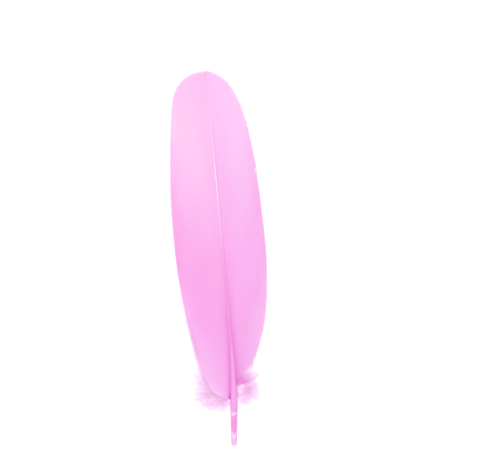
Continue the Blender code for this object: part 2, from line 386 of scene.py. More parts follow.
def paint_shaft():
    material, graph, shader = new_material(
        "dyed_horn_with_painted_light", Roughness=0.38, Specular_IOR_Level=0.45, IOR=1.54
    )
    along = graph.fact("from_quill_end")
    across = graph.fact("across_shaft")
    off_middle = graph.maths("ABSOLUTE", across)
    noise = {"Scale": RAGGED_SCALE, "Detail": 3.0, "Vector": graph.place()}
    ragged = graph.node("ShaderNodeTexNoise", noise).outputs["Fac"]
    lowest = graph.maths("SUBTRACT", along, RAGGED_BY / 2)
    shifted = graph.maths("MULTIPLY_ADD", ragged, RAGGED_BY, lowest)
    slanting = graph.maths("MULTIPLY_ADD", across, -PITH_SLANT, shifted)
    pointed = graph.maths("MULTIPLY_ADD", off_middle, -PITH_POINT, shifted)
    rounded = graph.maths("MULTIPLY_ADD", off_middle, -DYED_ROUNDING, along)
    colour = graph.mixed(graph.rise(shifted, *CLEAR_TO_PALE), QUILL_CLEAR, QUILL_PALE)
    colour = graph.mixed(graph.rise(along, *CUT_FACE), colour, QUILL_PALE)
    pith = graph.both(graph.rise(pointed, *PITH_FOOT), graph.rise(slanting, *PITH_HEAD))
    pith = graph.both(pith, graph.rise(off_middle, *PITH_WIDTH))
    colour = graph.mixed(pith, colour, QUILL_PINK)
    rachis = graph.ramp(graph.maths("DIVIDE", along, LENGTH), RACHIS_DYE)
    # painted highlight on the ridge, offset towards the lamp, and painted shade on its flanks
    off_ridge = graph.maths("ABSOLUTE", graph.maths("ADD", across, RIDGE_OFFSET))
    flank = graph.both(graph.rise(off_ridge, *RIDGE_FLANK), graph.rise(along, *RIDGE_FROM))
    rachis = graph.mixed(flank, rachis, FLANK_SHADE_PINK)
    colour = graph.mixed(graph.rise(rounded, *DYED_FROM), colour, rachis)
    foot_line = graph.band(rounded, *FOOT_LINE, FOOT_LINE_SOFTNESS)
    colour = graph.mixed(graph.both(foot_line, FOOT_LINE_STRENGTH), colour, MAUVE_SHADE_AND_FOOT_LINE)
    # painted shade down the right and left sides of the shaft
    lower_half = graph.rise(along, *LOWER_HALF)
    strength = graph.maths("MULTIPLY_ADD", lower_half, RIGHT_SHADE_BELOW, RIGHT_SHADE)
    right_side = graph.both(graph.rise(across, *RIGHT_FLANK), strength)
    right_side = graph.both(right_side, graph.rise(along, *RIGHT_SHADE_END))
    colour = graph.mixed(right_side, colour, MAUVE_SHADE_AND_FOOT_LINE)
    left_side = graph.both(graph.rise(across, *LEFT_FLANK), LEFT_SHADE)
    left_side = graph.both(left_side, graph.rise(along, *LEFT_SHADE_END))
    colour = graph.mixed(left_side, colour, MAUVE_SHADE_AND_FOOT_LINE)
    colour = graph.unevenly_dyed(colour, *UNEVEN_HORN)
    graph.tree.links.new(colour, shader.inputs["Base Color"])
    return material


shaft.data.materials.append(paint_shaft())
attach(shaft, "root")
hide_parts("feather")

# Each vane is a row of several hundred barbs that leave the shaft one beside the next. A barb is
# a stiff thread with a web of tiny hooked branches on both sides, by which it holds on to its
# neighbours, so that together they make a closed, smooth and slightly wavy sheet.
LEFT, RIGHT = -1, 1
# From the tip of the lowest barb to the feather's tip: (distance from the quill's end, width)
OUTLINE = {
    LEFT: (
        (31 * MM, 13.5 * MM),
        (37 * MM, 15.8 * MM),
        (47 * MM, 17.8 * MM),
        (63 * MM, 20.4 * MM),
        (84 * MM, 22.4 * MM),
        (115 * MM, 22.4 * MM),
        (145 * MM, 20.0 * MM),
        (163 * MM, 17.0 * MM),
        (171.2 * MM, 11.8 * MM),
        (174.4 * MM, 5.4 * MM),
        (175 * MM, 0.4 * MM),
    ),
    RIGHT: (
        (39 * MM, 9.0 * MM),
        (48 * MM, 13.3 * MM),
        (62 * MM, 17.3 * MM),
        (85 * MM, 20.0 * MM),
        (115 * MM, 19.8 * MM),
        (140 * MM, 18.2 * MM),
        (158 * MM, 15.0 * MM),
        (169 * MM, 10.2 * MM),
        (173.8 * MM, 4.6 * MM),
        (175 * MM, 0.4 * MM),
    ),
}
OUTLINE_STEPS = 400
FIRST_ROOT = 22.5 * MM
LAST_ROOT = 174.6 * MM
# How far a barb bows out from the straight line to its tip, in lengths of that line: (at the foot
# of the vane, above BOW_SETTLED of its length)
BOWS = {LEFT: (0.30, 0.17), RIGHT: (-0.05, 0.17)}
BOW_SETTLED = 0.25
FANNING = 0.75  # below 1, the lowest barbs fan out
FANNING_START = 0.02
CAMBER = {LEFT: 6.2 * MM, RIGHT: 8.2 * MM}  # how far a free vane droops at CAMBER_WIDTH
CAMBER_WIDTH = 22 * MM
CREASE = {LEFT: 0.9 * MM, RIGHT: 0.5 * MM}  # depth of the valley beside the shaft
CREASE_WIDTH = 3.2 * MM
BARB_LEVEL = 0.30  # of the barbs' roots above the shaft's axis, in its half widths
LIE_HEIGHT = 0.16 * MM  # of the vane where it lies on the table
LIE_SOFTNESS = 0.22 * MM  # of the turn from drooping to lying
ABOVE_TABLE = 0.01 * MM  # of the lowest parts of its barbs
BARBS = 350
BARB_RINGS = 29
BARB_CROWDING = 1.25  # above 1, a barb's rings are closer together towards its tip
# A barb's section from its edge nearer the quill over the thread and round underneath:
# (share of the way to the next barb, height)
BARB_SECTION = (
    (-0.56, -0.045 * MM),
    (-0.12, 0.020 * MM),
    (0.02, 0.050 * MM),
    (0.16, 0.030 * MM),
    (0.56, 0.045 * MM),
    (0.03, -0.100 * MM),
)
TIP_THINNING = 0.6  # of that height, from the root to the tip
# A barb narrows over its last stretch, or over a share of its length where it is short
TIP_TAPER = 1.6 * MM
SHORT_TAPER = 0.4
BLUNT_TIP = 0.25  # the share of its width that is left at its end
TAPER_CURVE = 0.7
# The barbs' lengths differ a little, in waves of some rows and each by itself
LENGTH_WAVE, LENGTH_ROWS = 0.006, 9
LENGTH_SPREAD = 0.004
# The sheet is clumped over some rows, waved along the vane and rippled along its barbs. A wave is
# (height, turns along the vane, turns along a barb)
CLUMP_HEIGHT, CLUMP_ROWS = 0.05 * MM, 14
VANE_WAVE = (0.10 * MM, 5.3, -0.8)
RIPPLE_HEIGHT, RIPPLE_TURNS = 0.12 * MM, 1.9
RIPPLE_DRIFT, RIPPLE_BENDS = 0.4, 7  # of the ripples, in turns and in bends along the vane
TONE_ROWS = 6
# Each octave of those slow changes is a few waves of unlike length, weaker than the one before
NOISE_OCTAVES = 3
NOISE_WAVES = 5
NOISE_PITCHES = (0.6, 1.4)
NOISE_WEAKENING = 1.6
# The split in the right vane's edge
NOTCH_AT = 0.558  # along the vane
NOTCH_HALF_WIDTH = 0.80 * MM
NOTCH_DEPTH = 0.15  # share of a barb
NOTCH_CURVE = 1.5
NOTCH_ROWS = 7  # over which the barbs are pushed aside
NOTCH_OVERHANG = 0.040  # of the barbs just below it, in their lengths
NOTCH_OVERHANG_ROWS = 3
# The lowest barbs have hooks on their inner part alone. From here down along the vane, less and
# less of the barb holds on to its neighbours, and the rest of it lies loose.
HOOKED_FROM = {LEFT: 0.13, RIGHT: 0.030}
HOOKED_AT_FOOT = {LEFT: 0.55, RIGHT: 0.05}  # share of the lowest barb that is hooked
HOOKED_ALL = 1.05  # past a barb's tip, so that hardly any of it is loose
LOOSE_ROWS = {LEFT: 0.0, RIGHT: 0.012}  # the lowest ones, all alike
LET_GO_SPREAD = (-0.08, 0.05)
LOOSENING = 0.30  # share of a barb over which it lets go
LOOSE_WIDTH = 0.85  # of a loose barb, in hooked ones
VANE_ROUNDED_UP_TO = math.radians(60)


def outline(side):
    """The outline as (distance round it, x, y), on a smooth curve through its points."""
    rows = np.array(OUTLINE[side])
    rows = np.vstack([2 * rows[0] - rows[1], rows, 2 * rows[-1] - rows[-2]])
    at = np.linspace(0, len(rows) - 3, OUTLINE_STEPS)
    i = np.minimum(at.astype(int), len(rows) - 4)
    t = (at - i)[:, None]
    p0, p1, p2, p3 = rows[i], rows[i + 1], rows[i + 2], rows[i + 3]
    curve = 0.5 * (
        2 * p1
        + (p2 - p0) * t
        + (2 * p0 - 5 * p1 + 4 * p2 - p3) * t ** 2
        + (3 * p1 - p0 - 3 * p2 + p3) * t ** 3
    )
    y = curve[:, 0]
    x = shaft_x(y) + side * curve[:, 1]
    walked = np.concatenate([[0], np.cumsum(np.hypot(np.diff(x), np.diff(y)))])
    return walked / walked[-1], x, y


OUTLINES = {side: outline(side) for side in (LEFT, RIGHT)}


def barb_place(side, u, v):
    """x and y of the barb at u along the vane, at v of its length from the shaft to its tip."""
    u = np.clip(u, 0, 1)
    root_y = FIRST_ROOT + (LAST_ROOT - FIRST_ROOT) * u
    root = np.stack(np.broadcast_arrays(shaft_x(root_y), root_y), axis=-1)
    start = FANNING_START ** FANNING
    share = ((u + FANNING_START) ** FANNING - start) / ((1 + FANNING_START) ** FANNING - start)
    walked, x, y = OUTLINES[side]
    tip = np.stack([np.interp(share, walked, x), np.interp(share, walked, y)], axis=-1)
    chord = tip - root
    outward = np.stack([chord[..., 1], -chord[..., 0]], axis=-1) * side
    at_foot, settled = BOWS[side]
    bow = at_foot + (settled - at_foot) * np.minimum(1, u / BOW_SETTLED)
    middle = root + chord / 2 + outward * bow[..., None]
    v = v[..., None]
    return root * (1 - v) ** 2 + middle * 2 * v * (1 - v) + tip * v * v


def vane_top(x, y):
    """Height of the vane's smooth side, which droops away from the shaft until it meets the table."""
    across = x - shaft_x(y)
    left = across < 0
    away = np.abs(across)
    droop = np.where(left, CAMBER[LEFT], CAMBER[RIGHT]) * (away / CAMBER_WIDTH) ** 2
    crease = np.where(left, CREASE[LEFT], CREASE[RIGHT]) * (1 - np.exp(-((away / CREASE_WIDTH) ** 2)))
    free = shaft_z(y) + BARB_LEVEL * shaft_radius(y) + crease - droop
    return LIE_HEIGHT + LIE_SOFTNESS * np.logaddexp(0, (free - LIE_HEIGHT) / LIE_SOFTNESS)


def hooked_share(side, u):
    """How much of the barb at u holds on to its neighbours, from the shaft outwards."""
    at_foot = HOOKED_AT_FOOT[side]
    return at_foot + (HOOKED_ALL - at_foot) * eased(LOOSE_ROWS[side], HOOKED_FROM[side], u)


def slow_noise(rng, length, wave):
    """A smooth random line of the given length, mostly between -1 and 1."""
    at = np.arange(length)
    made = np.zeros(length)
    for octave in range(NOISE_OCTAVES):
        turns = length / wave * 2 ** octave
        phase = rng.uniform(0, 2 * np.pi, NOISE_WAVES)
        pitch = rng.uniform(*NOISE_PITCHES, NOISE_WAVES) * turns
        waves = np.sin(2 * np.pi * pitch[:, None] * at / length + phase[:, None])
        made += waves.sum(axis=0) / NOISE_WAVES / NOISE_WEAKENING ** octave
    return made


def unit(vectors):
    return vectors / np.linalg.norm(vectors, axis=-1, keepdims=True)


def way_to_next(side, centre, u, v):
    """The step from each place on a barb square across to the next barb."""
    gap = 1 / (BARBS - 1)
    to_next = (barb_place(side, u + gap, v) - barb_place(side, u - gap, v)) / 2
    to_next[0] *= 2
    to_next[-1] *= 2
    tangent = unit(np.gradient(centre, axis=1))
    return to_next - tangent * (to_next * tangent).sum(axis=-1, keepdims=True)


def barb_widths(centre, let_go, v):
    """The width of each barb along it, in widths of a hooked one."""
    steps = np.linalg.norm(np.diff(centre, axis=1), axis=-1)
    walked = np.concatenate([np.zeros((BARBS, 1)), np.cumsum(steps, axis=1)], axis=1)
    length = walked[:, -1:]
    at_tip = np.clip((length - walked) / np.minimum(TIP_TAPER, length * SHORT_TAPER), 0, 1)
    tapered = BLUNT_TIP + (1 - BLUNT_TIP) * at_tip ** TAPER_CURVE
    return tapered * (1 - (1 - LOOSE_WIDTH) * eased(let_go, let_go + LOOSENING, v))


def split_open(u, v):
    """How far each place on a barb is pushed along the feather by the split."""
    from_notch = (u - NOTCH_AT) * (BARBS - 1)
    near_edge = np.clip((v - 1 + NOTCH_DEPTH) / NOTCH_DEPTH, 0, 1) ** NOTCH_CURVE
    return np.sign(from_notch) * np.exp(-np.abs(from_notch) / NOTCH_ROWS) * near_edge * NOTCH_HALF_WIDTH


def make_vane(side, name, seed):
    rng = np.random.default_rng(seed)
    u = np.linspace(0, 1, BARBS)[:, None]
    v = 1 - (1 - np.linspace(0, 1, BARB_RINGS)[None, :]) ** BARB_CROWDING
    reach = 1 + LENGTH_WAVE * slow_noise(rng, BARBS, LENGTH_ROWS)[:, None]
    reach = reach + rng.normal(0, LENGTH_SPREAD, (BARBS, 1))
    if side == RIGHT:
        below_notch = (NOTCH_AT - u) * (BARBS - 1) / NOTCH_OVERHANG_ROWS
        reach = reach + NOTCH_OVERHANG * np.exp(-np.abs(below_notch)) * (below_notch > 0)
    u, v = np.broadcast_arrays(u, v)
    centre = barb_place(side, u, v * reach)
    to_next = way_to_next(side, centre, u, v * reach)
    let_go = hooked_share(side, u) + rng.uniform(*LET_GO_SPREAD, (BARBS, 1))
    widths = barb_widths(centre, let_go, v)
    if side == RIGHT:
        centre[..., 1] += split_open(u, v)
    share, height = (np.array(column) for column in zip(*BARB_SECTION))
    flat = centre[:, :, None, :] + to_next[:, :, None, :] * (share * widths[..., None])[..., None]
    clumped = slow_noise(rng, BARBS, CLUMP_ROWS)[:, None] * v * CLUMP_HEIGHT
    wave_height, along_turns, barb_turns = VANE_WAVE
    waved = wave_height * np.sin(2 * np.pi * (along_turns * u + barb_turns * v) + seed) * v
    drift = RIPPLE_DRIFT * np.sin(RIPPLE_BENDS * u + seed)
    rippled = RIPPLE_HEIGHT * np.sin(2 * np.pi * (RIPPLE_TURNS * v + drift)) * v
    lifted = (clumped + waved + rippled)[..., None]
    thickness = height * (1 - TIP_THINNING * v)[..., None]
    z = vane_top(flat[..., 0], flat[..., 1]) + thickness + lifted
    z = np.maximum(z, ABOVE_TABLE)
    outside_out = slice(None, None, -1) if side == LEFT else slice(None)
    places = np.concatenate([flat, z[..., None]], axis=-1)[:, :, outside_out]
    x, y = places[..., 0], places[..., 1]
    values = {
        "along_vane": u[..., None],
        "along_barb": v[..., None],
        "beside_shaft": np.abs(x - shaft_x(y)) - shaft_radius(y),
        "loosened": eased(let_go, let_go + LOOSENING, v)[..., None],
        "barb_tone": slow_noise(rng, BARBS, TONE_ROWS)[:, None, None],
    }
    vane = joined_tubes(name, [(places, values)])
    vane.data.set_sharp_from_angle(angle=VANE_ROUNDED_UP_TO)
    return vane


# The dye along each vane, from its foot to its tip
DYE = {
    LEFT: (
        (0.00, (0.932, 0.480, 0.875, 1)),
        (0.15, (0.925, 0.417, 0.822, 1)),
        (0.33, (0.924, 0.410, 0.802, 1)),
        (0.46, (0.928, 0.452, 0.822, 1)),
        (0.60, (0.934, 0.531, 0.854, 1)),
        (0.77, (0.938, 0.583, 0.860, 1)),
        (1.00, (0.938, 0.515, 0.850, 1)),
    ),
    RIGHT: (
        (0.00, (0.930, 0.450, 0.860, 1)),
        (0.15, (0.932, 0.444, 0.845, 1)),
        (0.33, (0.942, 0.464, 0.862, 1)),
        (0.46, (0.942, 0.484, 0.866, 1)),
        (0.60, (0.942, 0.542, 0.886, 1)),
        (0.77, (0.958, 0.584, 0.905, 1)),
        (1.00, (0.960, 0.560, 0.882, 1)),
    ),
}
CREASE_SHADE_AND_DYE_PINK = (0.860, 0.225, 0.690, 1)
CORNER_SHADOW = (0.560, 0.080, 0.330, 1)
LOOSE_PINK = (0.985, 0.720, 0.955, 1)
INNER_SHADE_PINK = (0.915, 0.400, 0.800, 1)
# Painted shade: the inner part of the middle rows is drawn deeper in colour, as the shade beside the
# shaft
INNER_SHADE_STRENGTH = {LEFT: 0.30, RIGHT: 0.50}
INNER_ROWS = ((0.10, 0.30), (1.10, 0.65))  # it comes in over the first of these and goes over the second
INNER_WIDTH = (11 * MM, 0.0)
# What tints the dye of a vane, one over the other, mostly painted shade: (colour, strength on each side,
# from nothing to all of it along the vane, and the same by distance from the shaft)
VANE_TINTS = (
    # painted shadow of the shaft on the right vane beside it
    (MAUVE_SHADE_AND_FOOT_LINE, {LEFT: 0.0, RIGHT: 0.25}, (0.90, 0.75), (0.6 * MM, 0.2 * MM)),
    # painted shade in the crease beside the shaft, over a deeper dye there
    (CREASE_SHADE_AND_DYE_PINK, {LEFT: 0.18, RIGHT: 0.38}, (0.60, 0.15), (4.5 * MM, 0.0)),
    # a narrow line of painted shade right against the shaft
    (CREASE_SHADE_AND_DYE_PINK, {LEFT: 0.80, RIGHT: 0.50}, (0.35, 0.05), (1.8 * MM, 0.0)),
    # painted shadow in the corner where the lowest barbs leave the shaft
    (CORNER_SHADOW, {LEFT: 0.90, RIGHT: 0.90}, (0.025, 0.0), (1.0 * MM, 0.0)),
    (LOOSE_PINK, {LEFT: 0.35, RIGHT: 0.35}, (0.04, 0.0), (1.0 * MM, 6.0 * MM)),
)
# Towards the foot the outer parts of the barbs are paler, and so is what has let go: partly a paler
# colour like the down's, partly painted light against the shade of the drooping vane and of the loose
# hairs over it
FOOT_PALENESS_AND_LIGHT = {LEFT: 0.30, RIGHT: 0.40}
FOOT_ROWS = (0.35, 0.0)
FOOT_OUTER_PART = (0.2, 0.9)
LOOSE_PALENESS_AND_LIGHT = 0.4
# From here down along the vane its barbs are as pale as down
PALE_BELOW = {LEFT: -0.01, RIGHT: 0.018}
PALE_SOFTNESS = 0.005
BARB_TONES = 0.02  # how much the dye's strength differs from barb to barb
UNEVEN_VANES = (130.0, 0.12)  # how fine the patches of dye are, and how much they differ


def paint_vane(side, name):
    material, graph, shader = new_material(
        name, Roughness=0.6, Specular_IOR_Level=0.3, Sheen_Weight=0.1, Sheen_Roughness=0.5
    )
    along = graph.fact("along_vane")
    reach = graph.fact("along_barb")
    beside = graph.fact("beside_shaft")
    colour = graph.ramp(along, DYE[side])
    inner = graph.both(*(graph.rise(along, *rows) for rows in INNER_ROWS))
    inner = graph.both(inner, graph.rise(beside, *INNER_WIDTH))
    colour = graph.mixed(graph.both(inner, INNER_SHADE_STRENGTH[side]), colour, INNER_SHADE_PINK)
    for tint, strength, rows, distances in VANE_TINTS:
        here = graph.both(graph.rise(along, *rows), graph.rise(beside, *distances))
        colour = graph.mixed(graph.both(here, strength[side]), colour, tint)
    foot = graph.both(graph.rise(along, *FOOT_ROWS), graph.rise(reach, *FOOT_OUTER_PART))
    colour = graph.mixed(graph.both(foot, FOOT_PALENESS_AND_LIGHT[side]), colour, LOOSE_PINK)
    colour = graph.mixed(graph.both(graph.fact("loosened"), LOOSE_PALENESS_AND_LIGHT), colour, LOOSE_PINK)
    pale_below = PALE_BELOW[side]
    lowest = graph.rise(along, pale_below + PALE_SOFTNESS, pale_below - PALE_SOFTNESS)
    colour = graph.mixed(lowest, colour, LOOSE_PINK)
    strength = graph.maths("MULTIPLY_ADD", graph.fact("barb_tone"), BARB_TONES, 1.0)
    dyed = graph.node("ShaderNodeHueSaturation", {"Color": colour, "Saturation": strength})
    colour = graph.unevenly_dyed(dyed.outputs[0], *UNEVEN_VANES)
    graph.tree.links.new(colour, shader.inputs["Base Color"])
    return material


for side, name, seed in ((LEFT, "left_vane", 11), (RIGHT, "right_vane", 23)):
    vane = make_vane(side, name, seed)
    vane.data.materials.append(paint_vane(side, f"dyed_barbs_with_painted_light_of_{name}"))
    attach(vane, "root")
    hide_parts("feather")

# Below the hooked part of the vanes the shaft carries down: limp, wavy barbs with no hooks but
# long fine branches, which grow from both its sides. The lowest of them stand out sideways and
# curl back towards the quill's end, and the rest fill the height between vane and table.
# A tuft is (barbs, lowest and highest root, degrees from +Y at the lowest and the highest root,
# length there, length of the branches, share of the barb without branches)
TUFTS = {
    LEFT: (
        (15, (20.5 * MM, 26 * MM), (152, 112), (7 * MM, 15 * MM), 3.0 * MM, 0.05),
        (60, (22 * MM, 28 * MM), (122, 92), (15 * MM, 22 * MM), 3.4 * MM, 0.22),
        (44, (26 * MM, 38 * MM), (100, 62), (19 * MM, 26 * MM), 3.0 * MM, 0.55),
        (44, (23 * MM, 29 * MM), (114, 84), (20 * MM, 23.5 * MM), 3.4 * MM, 0.60),
    ),
    RIGHT: (
        (12, (20.5 * MM, 26 * MM), (148, 110), (5.5 * MM, 9 * MM), 2.6 * MM, 0.0),
        (100, (23 * MM, 30.5 * MM), (116, 74), (12.8 * MM, 13.4 * MM), 2.6 * MM, 0.36),
        (30, (29 * MM, 38 * MM), (86, 54), (11 * MM, 13.0 * MM), 2.2 * MM, 0.40),
    ),
}
# the fold's tone, the deepest, stands for painted shade
FOLD_TONE, PLAIN_TONE, PALE_TONE = -1.0, 0.0, 1.0  # of loose barbs, from the deepest to the palest
DOWN_RINGS = 22
DOWN_SIDES = 4
DOWN_RADIUS = 0.05 * MM
DOWN_THINNING = 0.8  # of that radius, from the root to the tip
DOWN_FLATNESS = 0.3  # height of a barb or branch by its width
DOWN_LENGTHS = (0.62, 1.04)  # in lengths of the tuft
DOWN_ANGLE_SPREAD = 7  # degrees
DOWN_WANDER = 6  # degrees from ring to ring
DOWN_CURL = 26  # degrees
DOWN_CURL_SHARES = (0.3, 1.6)
DOWN_ROOT_DEPTHS = (0.0, 0.6)  # under the shaft's axis, in its half widths
DOWN_LEVELS = (0.4 * MM, 4.4 * MM)  # to which the barbs sink
DOWN_SINKING = 1.3  # above 1, a barb sinks sooner
DOWN_WAVE = 0.35 * MM
DOWN_WAVE_TURNS = 1.7
DOWN_LOWEST = 0.15 * MM
BRANCH_SPACING = 0.32 * MM
BRANCH_RINGS = 3
BRANCH_SIDES = 3
BRANCH_RADIUS = 0.020 * MM
BRANCH_THINNING = 0.7
BRANCH_LEANS = (52, 14)  # degrees from the barb and their spread
BRANCH_RISE_SPREAD = 0.35
BRANCH_LENGTHS = (0.55, 1.1)
BRANCH_BEND_SPREAD = 0.22
BRANCH_LOWEST = 0.05 * MM
# The branches are longest a little below the middle of the barb
BRANCH_PROFILE = (0.12, 0.80)
BRANCH_PROFILE_CURVE = 0.6
SLOPE_STEP = 0.04  # share of a barb over which its direction is taken


def tube_places(line, radius, sides):
    """Flattened rings round lines. line is (tube, ring, 3) and radius (tube, ring)."""
    tangent = np.gradient(line, axis=1)
    tangent /= np.linalg.norm(tangent, axis=-1, keepdims=True) + 1e-12
    side = np.cross(tangent, (0, 0, 1.0))
    side /= np.linalg.norm(side, axis=-1, keepdims=True) + 1e-12
    up = np.cross(side, tangent) * DOWN_FLATNESS
    angle = np.linspace(0, 2 * np.pi, sides, endpoint=False)[:, None]
    ring = side[:, :, None] * np.cos(angle) + up[:, :, None] * np.sin(angle)
    return line[:, :, None] + ring * radius[:, :, None, None]


def tuft_lines(side, tuft, rng):
    """The stems of a tuft, which leave the shaft's underside, wander and sink towards the table."""
    count, roots, angles, lengths = tuft[:4]
    share = np.sort(rng.uniform(0, 1, count))[:, None]
    t = np.linspace(0, 1, DOWN_RINGS)[None, :]
    angle = angles[0] + (angles[1] - angles[0]) * share
    angle = angle + rng.normal(0, DOWN_ANGLE_SPREAD, (count, 1))
    length = lengths[0] + (lengths[1] - lengths[0]) * share
    length = length * rng.uniform(*DOWN_LENGTHS, (count, 1))
    root_y = roots[0] + (roots[1] - roots[0]) * share
    wander = np.cumsum(rng.normal(0, DOWN_WANDER, (count, DOWN_RINGS)), axis=1)
    curl = DOWN_CURL * t * rng.uniform(*DOWN_CURL_SHARES, (count, 1))
    turn = np.radians(angle - curl + wander)
    step = length / (DOWN_RINGS - 1)
    x = shaft_x(root_y) + np.cumsum(side * np.sin(turn) * step, axis=1)
    y = root_y + np.cumsum(np.cos(turn) * step, axis=1)
    start_z = shaft_z(root_y) - rng.uniform(*DOWN_ROOT_DEPTHS, (count, 1)) * shaft_radius(root_y)
    rest_z = rng.uniform(*DOWN_LEVELS, (count, 1))
    z = start_z + (rest_z - start_z) * (1 - (1 - t) ** DOWN_SINKING)
    phase = rng.uniform(0, 1, (count, 1))
    z = z + DOWN_WAVE * np.sin(2 * np.pi * (t * DOWN_WAVE_TURNS + phase)) * t
    return np.stack([x, y, np.maximum(z, DOWN_LOWEST)], axis=-1)


def down_values(places, reach, tone):
    return {
        "down_reach": np.broadcast_to(reach, places.shape[:3]),
        "down_tone": np.full(places.shape[:3], tone),
    }


def on_line(line, at):
    """The point at a share of the way along a line."""
    t = np.linspace(0, 1, len(line))
    return np.stack([np.interp(at, t, line[:, axis]) for axis in range(3)], axis=-1)


def branched(lines, stem_radius, branch_length, bare, tone, rng):
    """The bundles of some stems and of the fine branches on them, above their bare part."""
    t = np.linspace(0, 1, DOWN_RINGS)[None, :]
    radius = stem_radius * (1.0 - DOWN_THINNING * t) * np.ones((len(lines), 1))
    stems = tube_places(lines, radius, DOWN_SIDES)
    roots, directions, lengths, reaches = [], [], [], []
    for line in lines:
        long = np.linalg.norm(np.diff(line, axis=0), axis=-1).sum() * (1 - bare)
        count = int(long / BRANCH_SPACING) * 2
        at = rng.uniform(bare, 1.0, count)
        tangent = unit(on_line(line, at + SLOPE_STEP) - on_line(line, at - SLOPE_STEP))
        sideways = np.stack([-tangent[:, 1], tangent[:, 0], np.zeros(count)], axis=-1)
        sideways *= np.where(np.arange(count) % 2, 1, -1)[:, None]
        lean = np.radians(rng.normal(*BRANCH_LEANS, count))[:, None]
        rise = rng.normal(0, BRANCH_RISE_SPREAD, count)[:, None]
        direction = tangent * np.cos(lean) + sideways * np.sin(lean) + (0, 0, 1) * rise
        low, gain = BRANCH_PROFILE
        body = np.sin(np.pi * np.clip(low + gain * at, 0, 1)) ** BRANCH_PROFILE_CURVE
        roots.append(on_line(line, at))
        directions.append(unit(direction))
        lengths.append(branch_length * body * rng.uniform(*BRANCH_LENGTHS, count))
        reaches.append(at)
    root, direction = np.concatenate(roots), np.concatenate(directions)
    size, reach = np.concatenate(lengths), np.concatenate(reaches)
    out = np.linspace(0, 1, BRANCH_RINGS)[None, :, None]
    bend = rng.normal(0, BRANCH_BEND_SPREAD, (len(root), 1, 3)) * size[:, None, None]
    line = root[:, None] + direction[:, None] * size[:, None, None] * out + bend * out * out
    line[..., 2] = np.maximum(line[..., 2], BRANCH_LOWEST)
    radius = BRANCH_RADIUS * (1 - BRANCH_THINNING * out[..., 0]) * np.ones((len(root), 1))
    branches = tube_places(line, radius, BRANCH_SIDES)
    return [
        (stems, down_values(stems, t[..., None], tone)),
        (branches, down_values(branches, reach[:, None, None], tone)),
    ]


def make_down(side, name, seed):
    rng = np.random.default_rng(seed)
    bundles = []
    for tuft in TUFTS[side]:
        branch_length, bare = tuft[4:]
        lines = tuft_lines(side, tuft, rng)
        bundles += branched(lines, DOWN_RADIUS, branch_length, bare, PLAIN_TONE, rng)
    down = joined_tubes(name, bundles)
    down.data.set_sharp_from_angle(angle=ROUNDED_UP_TO)
    return down


DOWN_PALE = (0.985, 0.690, 0.950, 1)
DOWN_PINK = (0.975, 0.600, 0.920, 1)
# the fold's deeper pink is painted shade, as of barbs turned under the vane's edge
FOLD_SHADE_PINK = (0.860, 0.250, 0.710, 1)
PALING = (0.0, 0.9)  # along a barb of down
# the fold's painted shade fades along it
FOLD_FADING = (1.25, 0.45)  # along the fold, so that a little of its colour is left at its end
UNEVEN_DOWN = (260.0, 0.35)  # how fine the patches of dye are, and how much they differ


def paint_down():
    material, graph, shader = new_material(
        "dyed_down_with_painted_light", Roughness=0.75, Specular_IOR_Level=0.2, Sheen_Weight=0.2, Sheen_Roughness=0.6
    )
    reach = graph.fact("down_reach")
    tone = graph.fact("down_tone")
    colour = graph.mixed(graph.rise(reach, *PALING), DOWN_PINK, DOWN_PALE)
    colour = graph.mixed(graph.rise(tone, PLAIN_TONE, PALE_TONE), colour, DOWN_PALE)
    # painted shade on the fold
    folded = graph.both(graph.rise(tone, PLAIN_TONE, FOLD_TONE), graph.rise(reach, *FOLD_FADING))
    colour = graph.mixed(folded, colour, FOLD_SHADE_PINK)
    colour = graph.unevenly_dyed(colour, *UNEVEN_DOWN)
    graph.tree.links.new(colour, shader.inputs["Base Color"])
    return material


dyed_down_with_painted_light = paint_down()
for side, name, seed in ((LEFT, "left_down", 31), (RIGHT, "right_down", 47)):
    down = make_down(side, name, seed)
    down.data.materials.append(dyed_down_with_painted_light)
    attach(down, "root")
    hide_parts("feather")

# Where the vane goes over into down, the ends of its lowest barbs have let go of each other. They lie
# over its margin and past it, sag towards the quill and bear short branches. On the right a few barbs
# are pressed together into a fan beside the shaft, whose darker colour is painted shade, over one pale
# strand.
FRINGE_EXTRA = 56  # loose barbs beside those of the vane's own lowest rows
FRINGE_REACH = 0.17  # how far up the vane they are found
FRINGE_SAG = 2.4 * MM
FRINGE_SAG_SHARES = (0, 2)
FRINGE_WANDER = 0.08 * MM  # from ring to ring
# Where they begin and end, in lengths of the hooked barbs beside them
FRINGE_STARTS = (0.70, 0.95)
FRINGE_ENDS = {LEFT: (1.00, 1.16), RIGHT: (0.96, 1.06)}
FRINGE_RADIUS = 0.045 * MM
FRINGE_BRANCH = 1.5 * MM
# The loose barbs are paler than plain down, partly as painted light against the shade they cast on each
# other
FRINGE_TONE_AND_LIGHT = 0.3
FRINGE_CLEARANCE = 0.06 * MM  # off the vane where they begin
FRINGE_LIFTS = (0.05 * MM, 0.5 * MM)  # how much further off they are between their ends
FRINGE_LIFT_TURN = 1.2  # above 1, they come down to the vane before their tips
FOLD_BARBS = 26
FOLD_RADIUS = 0.16 * MM
FOLD_BRANCH = 0.6 * MM
FOLD_BARE = 0.8
FOLD_ROOT = (1.0 * MM, 28.9 * MM)
FOLD_TIP = (7.0 * MM, 33.4 * MM)
FOLD_LENGTH_SPREAD = 0.05
FOLD_SWELL = 1.5 * MM  # how far its outermost barbs come to stand away from its middle line
FOLD_SWELL_TURN = 0.66  # its barbs fan out over three quarters of their length, then come in a little
FOLD_CLEARANCE = 0.25 * MM
FOLD_LIFT = 0.25 * MM
STRAND_BARBS = 5
STRAND_BRANCH = 0.7 * MM
STRAND_BARE = 0.1
